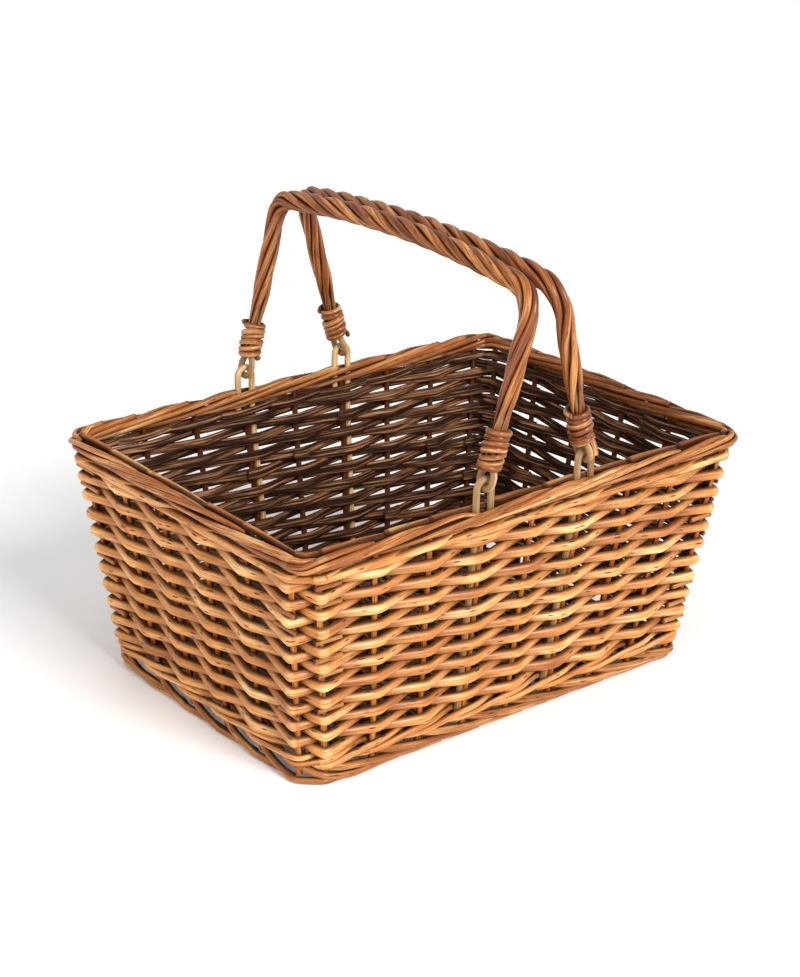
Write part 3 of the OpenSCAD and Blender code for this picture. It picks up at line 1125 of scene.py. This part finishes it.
@dataclass
class HandleFrame:
    """Where one handle is: its hinge axis, its lean and the way its bar runs."""

    side: str
    hinge: Array
    grip: Array
    half_span: float

    @classmethod
    def read(cls, frame: dict, side: str) -> "HandleFrame":
        """Reads a handle's place from the frame.

        Args:
            side: "left" or "right".

        Returns:
            The handle's place.
        """
        joint = next(j for j in frame["joints"] if j["name"] == f"{side}_handle_swing")
        mount = next(m for m in frame["record"]["mounts"] if m["name"] == f"{side}_grip")
        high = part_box(f"cane_loop_back_{side}")[1]
        return cls(side, np.array(joint["pos_m"]), np.array(mount["pos_m"]), high.y - CANE_R)

    @property
    def rise(self) -> Array:
        """The direction from the hinge axis to the bar."""
        return unit(self.grip - self.hinge)

    @property
    def height(self) -> float:
        """The distance from the hinge axis to the bar."""
        return float(np.linalg.norm(self.grip - self.hinge))

    @property
    def facing(self) -> float:
        """1 for the left handle and -1 for the right, which is turned half round."""
        return 1.0 if self.side == "left" else -1.0

    def world(self, local: Array) -> Array:
        """Turns points across, along and up the handle into points of the frame."""
        along = np.array([0.0, self.facing, 0.0])
        across = np.cross(along, self.rise)
        return self.hinge + local[:, :1] * across + local[:, 1:2] * along + local[:, 2:] * self.rise

    def turned(self, local: Array) -> Array:
        """Turns directions across, along and up the handle into directions of the frame."""
        return self.world(local) - self.hinge


def bend(start: Array, radius: float, heading: float, turn: Array) -> Array:
    """Points of a bend.

    Args:
        start: Where it begins.
        radius: Its radius.
        heading: Its heading there, in radians.
        turn: Its heading at each point.

    Returns:
        The points.
    """
    return start + radius * np.stack([math.sin(heading) - np.sin(turn), np.cos(turn) - math.cos(heading)], 1)


@dataclass
class HandleHalf:
    """The middle line of one half of a handle: leg, corner and half of the arched bar."""

    place: HandleFrame
    corner_r: float
    leg_tilt: float = -1.5
    bar_rise: float = 7.5

    def __post_init__(self) -> None:
        """Works out the lengths of the leg, the corner and the bar."""
        leg, bar = math.radians(90 - self.leg_tilt), math.radians(self.bar_rise)
        self.leg_angle, self.bar_angle = leg, bar
        self.leg_unit = np.array([math.cos(leg), math.sin(leg)])
        move = bend(np.zeros(2), self.corner_r, leg, np.array([bar]))[0]
        slope = (1 - math.cos(bar)) / math.sin(bar)
        rest = self.place.height - move[1] - slope * (self.place.half_span - move[0])
        self.leg_len = rest / (self.leg_unit[1] - slope * self.leg_unit[0])
        self.foot = np.array([-self.place.half_span, 0.0])
        self.leg_end = self.foot + self.leg_unit * self.leg_len
        self.bar_start = self.leg_end + move
        self.bar_r = -self.bar_start[0] / math.sin(bar)
        self.corner_len = self.corner_r * (leg - bar)
        self.length = self.leg_len + self.corner_len + self.bar_r * bar

    @property
    def bar_half(self) -> float:
        """The distance from the middle of the bar to the middle of the corner."""
        return self.length - self.leg_len - self.corner_len / 2

    def at(self, d: Array) -> Line:
        """Points along and up the handle, and the heading at each.

        Args:
            d: Distances from the hinge.

        Returns:
            The points and the headings in radians.
        """
        turn = self.leg_angle - (d - self.leg_len) / self.corner_r
        corner = bend(self.leg_end, self.corner_r, self.leg_angle, turn)
        level = self.bar_angle - (d - self.leg_len - self.corner_len) / self.bar_r
        bar = bend(self.bar_start, self.bar_r, self.bar_angle, level)
        leg = self.foot + self.leg_unit * d[:, None]
        first, second = d < self.leg_len, d < self.leg_len + self.corner_len
        points = np.where(first[:, None], leg, np.where(second[:, None], corner, bar))
        return points, np.where(first, self.leg_angle, np.where(second, turn, level))


@dataclass
class HandlePath:
    """The middle line of a whole handle, bent more tightly at its back corner."""

    place: HandleFrame
    front_corner_r: float = 22 * MM
    back_corner_r: float = 13 * MM

    def __post_init__(self) -> None:
        """Makes the two halves; the first one is at the front on the left handle only."""
        radii = (self.front_corner_r, self.back_corner_r)
        first, second = radii if self.place.side == "left" else radii[::-1]
        self.first = HandleHalf(self.place, first)
        self.second = HandleHalf(self.place, second)
        self.length = self.first.length + self.second.length

    def from_end(self, s: Array) -> Array:
        """Distances from the nearer hinge."""
        return np.minimum(s, self.length - s)

    def at(self, s: Array) -> Line:
        """Points along and up the handle, and the heading at each.

        Args:
            s: Distances from the first hinge.

        Returns:
            The points and the headings in radians.
        """
        near, heading = self.first.at(np.minimum(s, self.first.length))
        far, back_heading = self.second.at(np.minimum(self.length - s, self.second.length))
        beyond = s > self.first.length
        points = np.where(beyond[:, None], far * [-1, 1], near)
        return points, np.where(beyond, -back_heading, heading)


@dataclass
class TwistedHandle:
    """A handle of five willow strands twisted round a cane core, with its feet."""

    place: HandleFrame
    strands: int = 5
    strand_r: float = 2.85 * MM
    core_r: float = 1.9 * MM
    rope_r: float = 7.6 * MM
    leg_rope_r: float = 6.9 * MM
    bar_pitch: float = 98 * MM
    leg_pitch: float = 190 * MM
    socket: float = 21 * MM
    binding_start: float = 13 * MM
    binding_end: float = 41 * MM
    binding_turns: int = 6
    binding_r: float = 2.0 * MM
    winding_r: float = 6.5 * MM
    bulge: float = 0.7 * MM
    slant: float = 1.5 * MM
    cut_end: float = 6.8 * MM
    rod_end_size: float = 4.6 * MM
    settle: float = 26 * MM
    twist_soft: float = 18 * MM

    def build(self) -> None:
        """Builds the core, the strands, the bindings and the eyes."""
        self.path = HandlePath(self.place)
        side = self.place.side
        self.body = f"{side}_handle"
        self.rng = np.random.default_rng(11 if side == "left" else 23)
        self.core()
        for i in range(self.strands):
            self.strand(i)
        for end in ("front", "back"):
            self.binding(end)
            self.eye(end)

    def fullness(self, s: Array) -> Array:
        """0 inside a binding and 1 where the strands have their full size."""
        d = self.path.from_end(s)
        return ease(np.clip((d - self.binding_end - 1 * MM) / self.settle, 0, 1))

    def line(self, s: Array, away: Array, turn: Array) -> Line:
        """A line round the handle's middle line.

        Args:
            s: Distances along the handle.
            away: Distances from the middle line.
            turn: Angles round it, in radians.

        Returns:
            The points, and the direction away from the middle line at each.
        """
        flat, heading = self.path.at(s)
        zero = np.zeros(len(s))
        normal = np.stack([zero, -np.sin(heading), np.cos(heading)], 1)
        across = np.tile([1.0, 0.0, 0.0], (len(s), 1))
        out = normal * np.cos(turn)[:, None] + across * np.sin(turn)[:, None]
        centre = np.concatenate([zero[:, None], flat], 1)
        return self.place.world(centre + out * away[:, None]), self.place.turned(out)

    def core(self) -> None:
        """Builds the cane core."""
        s = np.linspace(self.socket, self.path.length - self.socket, 160)
        points, out = self.line(s, np.zeros(len(s)), np.zeros(len(s)))
        bundle = RodBundle([Rod(points, out, 2 * self.core_r, 2 * self.core_r, 0.5, 1.0)])
        node = f"{self.place.side}_handle_core"
        bundle.place(node + "_cane", Finish.CANE, self.rng, self.body, node)

    def turns_at(self, s: Array) -> Array:
        """How far the strands have turned, in whole turns: slowly on the legs, faster on the bar."""
        d = s - self.path.first.length
        bar = np.where(d < 0, self.path.first.bar_half, self.path.second.bar_half)
        past = self.twist_soft * np.log1p(np.exp((np.abs(d) - bar) / self.twist_soft))
        return np.sign(d) * ((np.abs(d) - past) / self.bar_pitch + past / self.leg_pitch)

    def strand(self, i: int) -> None:
        """Builds one twisted strand.

        Args:
            i: The strand's number, from 0.
        """
        rng = np.random.default_rng(300 + i + (10 if self.place.side == "left" else 0))
        s = np.linspace(self.socket, self.path.length - self.socket, 250)
        full = self.fullness(s)
        d = self.path.from_end(s)
        on_bar = ease(np.clip((d - self.path.first.leg_len) / (20 * MM), 0, 1))
        rope = self.leg_rope_r + (self.rope_r - self.leg_rope_r) * on_bar
        turn = 2 * math.pi * (self.turns_at(s) + i / self.strands) + wobble(s, 0.11, 0.13, rng)
        thick = self.strand_r * (1 + wobble(s, 0.30, 0.09, rng)) * rope / self.rope_r
        radius = self.strand_r / 2 + (thick - self.strand_r / 2) * full
        tip_away = self.core_r + self.strand_r / 2 + 0.3 * MM
        away = tip_away + (rope - thick + wobble(s, 0.09, 0.2 * MM, rng) - 0.2 * MM - tip_away) * full
        points, out = self.line(s, away, turn)
        tone = draw_tone(rng, 0.5, 0.2, 0.1, 0.9)
        # Painted shade where the strands thin into the binding.
        bundle = RodBundle([Rod(points, out, 2 * radius, 2 * radius, tone, 0.75 + 0.25 * full)])
        node = f"{self.place.side}_handle_strand_{i + 1}"
        bundle.place(node + "_rod", Finish.HANDLE, rng, self.body, node)

    def leg_frame(self, end: str) -> tuple[Array, Array, Array, Array]:
        """The hinge point of one leg, and the directions across, along and up that leg.

        Args:
            end: "front" or "back".

        Returns:
            The point and the three directions.
        """
        front = 1.0 if end == "front" else -1.0
        hinge = self.place.hinge + np.array([0.0, -front * self.place.half_span, 0.0])
        tilt = math.radians(HandleHalf.leg_tilt)
        up = self.place.rise * math.cos(tilt) + np.array([0.0, front, 0.0]) * math.sin(tilt)
        along = unit(np.array([0.0, 1.0, 0.0]) - up * up[1])
        return hinge, np.cross(along, up), along, up

    def binding(self, end: str) -> None:
        """Winds thin willow round the ends of the strands, with slanted turns and cut ends.

        The right front binding has the end of a handle rod beside it.

        Args:
            end: "front" or "back".
        """
        rng = np.random.default_rng(500 + len(end) + 3 * len(self.place.side))
        hinge, across, along, up = self.leg_frame(end)
        pitch = (self.binding_end - self.binding_start - 2 * self.binding_r) / self.binding_turns
        turns = self.binding_turns + 0.6
        t = np.linspace(-0.3, turns - 0.3, int(turns * 30))
        inside = np.clip(t / self.binding_turns, 0, 1)
        angle = 2 * math.pi * t + rng.uniform(0, 6)
        belly = np.sin(math.pi * inside)
        slant = self.slant * belly**0.5 * np.cos(angle + 0.5 * t + wobble(t, 4.0, 0.8, rng))
        climb = self.binding_start + self.binding_r + pitch * self.binding_turns * inside + slant
        radius = self.winding_r + self.bulge * belly + wobble(t, 1.7, 0.35 * MM, rng)
        radius = radius + np.clip(np.maximum(-t, t - self.binding_turns), 0, 1) * self.cut_end
        ray = across * np.cos(angle)[:, None] + along * np.sin(angle)[:, None]
        points = hinge + ray * radius[:, None] + up * climb[:, None]
        size = 2 * self.binding_r * (1 + wobble(t, 3.1, 0.12, rng))
        crest = np.full(len(t), 0.9)
        crest[[0, -1]] = CUT_CREST
        bundle = RodBundle([Rod(points, ray, size, size * 0.9, float(rng.uniform(0.3, 0.7)), crest)])
        if (end, self.place.side) == ("front", "right"):
            climb = np.linspace(5 * MM, self.binding_start + 8 * MM, 12)[:, None]
            inward = 0.3 * np.clip(climb - 10 * MM, 0, 1) - 7.6 * MM
            rod_end = hinge + across * 3.6 * MM + up * climb + along * inward
            bundle.add(Rod(rod_end, -along, self.rod_end_size, self.rod_end_size, 0.5, 1.0))
        node = f"{self.place.side}_binding_{end}"
        bundle.place(node + "_winding", Finish.BINDING, rng, self.body, node)

    def eye(self, end: str) -> None:
        """Bends the cane eye that hangs in the basket's loop.

        Args:
            end: "front" or "back".
        """
        hinge, across, along, up = self.leg_frame(end)
        turn = np.radians(np.linspace(180, 360, 40))
        arc = np.stack([np.cos(turn), 1 + np.sin(turn)], 1) * LINK_R
        climb = np.linspace(LINK_R, self.socket - 1 * MM, 26)[1:]
        close = ease(np.clip((climb - 8.5 * MM) / (8 * MM), 0, 1))
        half = LINK_R - (LINK_R - 3.0 * MM) * close
        leg = np.stack([half, climb], 1)
        flat = np.concatenate([leg[::-1] * [-1, 1], arc, leg])
        points = hinge + flat[:, :1] * along + flat[:, 1:] * up
        bundle = RodBundle([Rod(points, across, 2 * CANE_R, 2 * CANE_R, 0.4, 1.0)])
        node = f"{self.place.side}_eye_{end}"
        bundle.place(node + "_cane", Finish.CANE, self.rng, self.body, node)


@dataclass
class CaneLoop:
    """A loop of cane that stands in the rim astride a stake, with one tail down to the foot."""

    plan: WallPlan
    end: str
    side: str
    hinge: Array
    arc_points: int = 36
    leg_points: int = 15
    squeeze: float = 0.9 * MM

    def build(self) -> None:
        """Builds the loop."""
        node = f"cane_loop_{self.end}_{self.side}"
        rng = np.random.default_rng(len(node))
        low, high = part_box(node)
        border_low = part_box("rim_border")[0].z
        wale_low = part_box("upper_wale")[0].z
        y = high.y - CANE_R if self.end == "back" else low.y + CANE_R
        x, top = self.hinge[0], self.hinge[2]
        stake = self.plan.loop_stakes[(self.end, self.side)]
        long_leg = 1.0 if self.end == "back" else -1.0
        turn = np.radians(np.linspace(0, 180, self.arc_points))
        arc = np.stack([long_leg * np.cos(turn), np.sin(turn)], 1) * LINK_R + [x, top]
        rise = np.linspace(border_low, top, self.leg_points + 1)[:-1]
        legs = [np.stack([np.full(len(rise), x + leg * LINK_R), rise], 1) for leg in (long_leg, -long_leg)]
        upper = np.insert(np.concatenate([legs[0], arc, legs[1][::-1]]), 1, y, axis=1)
        shift = y - self.plan.stake_line(stake, np.array([border_low]))[0][0, 1]
        tails = []
        for leg, foot, count in ((long_leg, low.z, 70), (-long_leg, wale_low, 8)):
            z = np.linspace(foot, border_low, count)[:-1]
            line, _ = self.plan.stake_line(stake, z)
            line[:, 0] += leg * (LINK_R - self.squeeze * np.clip((border_low - z) / (20 * MM), 0, 1))
            line[:, 1] += shift
            tails.append(line)
        points = soften(np.concatenate([tails[0], upper, tails[1][::-1]]), 2)
        size = 2 * CANE_R * (1 + wobble(np.arange(len(points)), 60.0, 0.03, rng))
        bundle = RodBundle([Rod(points, [0.0, -long_leg, 0.0], size, size, 0.6, 1.0)])
        bundle.place(node + "_cane", Finish.CANE, rng, BASKET, node)


# ---------------------------------------------------------------- studio


@dataclass
class Studio:
    """Pale floor, soft light and the camera."""

    azimuth: float = -39.26
    elevation: float = 22.33
    distance: float = 1.6718
    target: tuple = (0.0558, 0.0741, 0.095)
    roll: float = 1.32
    lens: float = 81.0645
    floor_size: float = 40.0
    floor_shade: float = 0.94
    key_power: float = 3.6
    key_spread: float = 30.0
    key_from: tuple = (0.06, -0.86, 0.52)
    fill_power: float = 18.0
    fill_size: float = 1.2
    fill_from: tuple = (-1.9, -0.6, 0.9)
    lit_point: tuple = (0, 0, 0.12)
    surround: float = 0.6

    def build(self) -> None:
        """Builds the floor, the lights and the camera."""
        self.floor()
        self.lights()
        self.camera()

    def floor(self) -> None:
        """Lays a plain pale floor."""
        bpy.ops.object.select_all(action="DESELECT")
        bpy.ops.mesh.primitive_plane_add(size=self.floor_size, location=(0, 0, 0))
        floor = bpy.context.object
        floor.name = "floor"
        colour = (self.floor_shade, self.floor_shade, self.floor_shade, 1)
        floor.data.materials.append(Graph("floor_paint").finish({"Base Color": colour, "Roughness": 0.9}, {}))

    def lights(self) -> None:
        """Sets a soft sun, a fill and a pale surround."""
        key = bpy.data.lights.new("key", "SUN")
        key.energy, key.angle = self.key_power, math.radians(self.key_spread)
        self.aim(key, (0, 0, 0), Vector(self.key_from))
        fill = bpy.data.lights.new("fill", "AREA")
        fill.size, fill.energy = self.fill_size, self.fill_power
        self.aim(fill, self.fill_from, Vector(self.fill_from) - Vector(self.lit_point))
        world = bpy.data.worlds.new("surround")
        world.use_nodes = True
        world.node_tree.nodes["Background"].inputs[0].default_value = (1, 1, 1, 1)
        world.node_tree.nodes["Background"].inputs[1].default_value = self.surround
        bpy.context.scene.world = world
        bpy.context.scene.view_settings.view_transform = "Standard"

    @staticmethod
    def aim(data: bpy.types.Light, where: tuple, towards: Vector) -> None:
        """Adds a light to the scene.

        Args:
            data: The light.
            where: Its place.
            towards: The direction that it shines from.
        """
        light = bpy.data.objects.new(data.name, data)
        light.location = where
        light.rotation_euler = towards.to_track_quat("Z", "Y").to_euler()
        bpy.context.scene.collection.objects.link(light)

    def camera(self) -> None:
        """Sets the camera at the viewing angle."""
        az, el, roll = (math.radians(a) for a in (self.azimuth, self.elevation, self.roll))
        back = Vector((math.sin(az) * math.cos(el), -math.cos(az) * math.cos(el), math.sin(el)))
        level = (-back).cross(Vector((0, 0, 1))).normalized()
        upright = level.cross(-back)
        right = level * math.cos(roll) + upright * math.sin(roll)
        up = upright * math.cos(roll) - level * math.sin(roll)
        data = bpy.data.cameras.new("camera")
        data.sensor_width, data.lens, data.clip_end = 36.0, self.lens, 100
        camera = bpy.data.objects.new("camera", data)
        turn = Matrix((right, up, back)).transposed().to_4x4()
        camera.matrix_world = Matrix.Translation(Vector(self.target) + back * self.distance) @ turn
        bpy.context.scene.collection.objects.link(camera)
        bpy.context.scene.camera = camera


def main() -> None:
    """Loads the frame and builds the basket round it, from the floor up."""
    logging.basicConfig(level=logging.INFO, format="%(message)s")
    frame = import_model()
    plan = WallPlan()
    Base().build()
    FootBorder(plan).build()
    Wale(plan, "lower_wale", radius=2.25 * MM).build()
    SplitWeave(plan).build()
    Wale(plan, "upper_wale", radius=2.7 * MM, section=Section.SPLIT).build()
    Stakes(plan).build()
    RimBorder(plan).build()
    for side in ("left", "right"):
        handle = HandleFrame.read(frame, side)
        for end in ("front", "back"):
            CaneLoop(plan, end, side, handle.hinge).build()
        TwistedHandle(handle).build()
    Studio().build()


if __name__ == "__main__":
    main()
